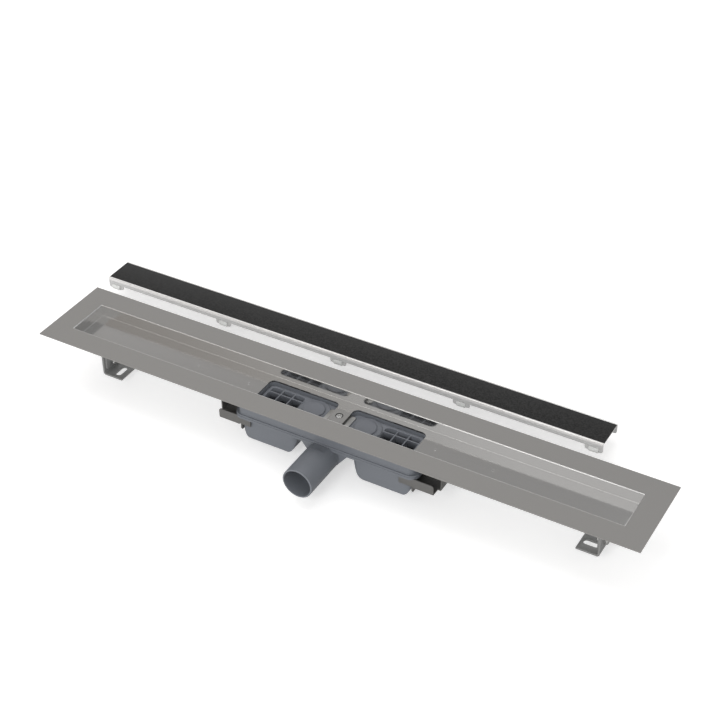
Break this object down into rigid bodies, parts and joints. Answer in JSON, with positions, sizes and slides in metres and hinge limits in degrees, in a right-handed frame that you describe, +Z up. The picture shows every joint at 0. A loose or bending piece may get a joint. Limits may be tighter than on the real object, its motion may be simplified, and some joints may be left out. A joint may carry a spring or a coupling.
{
  "type": "shower channel drain",
  "caption": "Linear shower drain: flanged steel tray with a recessed trough, a plastic water trap with a side outlet, adjustable feet and a lift-out black-topped cover.",
  "frame": {"origin": "middle of the channel at the height of the finished floor, which is the top of the flange", "axes": "+X along the channel, +Y to the back, away from the outlet, +Z up"},
  "size_m": [1.092, 0.3721, 0.09],
  "materials": {
    "tray_steel": "fine matte flange, polished trough",
    "bracket_steel": "mill finish sheet",
    "fastener_steel": "bright",
    "cover_steel": "satin",
    "inlay_black": "fine grained black",
    "trap_plastic": "satin blue grey moulding",
    "seal_rubber": "matte",
    "pad_plastic": "translucent whitish"
  },
  "bodies": {
    "drain": {"clamp_plate": "tray_steel", "clamp_screw": "fastener_steel", "cover_inlay": "inlay_black", "cover_pad_back_1": "pad_plastic", "cover_pad_back_2": "pad_plastic", "cover_pad_back_3": "pad_plastic", "cover_pad_back_4": "pad_plastic", "cover_pad_back_5": "pad_plastic", "cover_pad_front_1": "pad_plastic", "cover_pad_front_2": "pad_plastic", "cover_pad_front_3": "pad_plastic", "cover_pad_front_4": "pad_plastic", "cover_pad_front_5": "pad_plastic", "cover_profile": "cover_steel", "foot_bolt_left": "fastener_steel", "foot_bolt_right": "fastener_steel", "foot_nut_left": "fastener_steel", "foot_nut_right": "fastener_steel", "foot_tongue_left": "bracket_steel", "foot_tongue_right": "bracket_steel", "foot_washer_left": "fastener_steel", "foot_washer_right": "fastener_steel", "insert_seal_left": "seal_rubber", "insert_seal_right": "seal_rubber", "trap_body": "trap_plastic", "trap_cap_left": "trap_plastic", "trap_cap_right": "trap_plastic", "trap_collar": "trap_plastic", "trap_gasket": "seal_rubber", "trap_hanger_left": "bracket_steel", "trap_hanger_right": "bracket_steel", "trap_insert_left": "trap_plastic", "trap_insert_right": "trap_plastic", "tray": "tray_steel"},
    "foot_left": {"foot_bracket_left": "bracket_steel"},
    "foot_right": {"foot_bracket_right": "bracket_steel"}
  },
  "joints": [
    {"name": "foot_height_left", "type": "slide", "parent": "drain", "child": "foot_left", "axis": [0, 0, -1], "range_m": [0, 0.02]},
    {"name": "foot_height_right", "type": "slide", "parent": "drain", "child": "foot_right", "axis": [0, 0, -1], "range_m": [0, 0.02]}
  ]
}
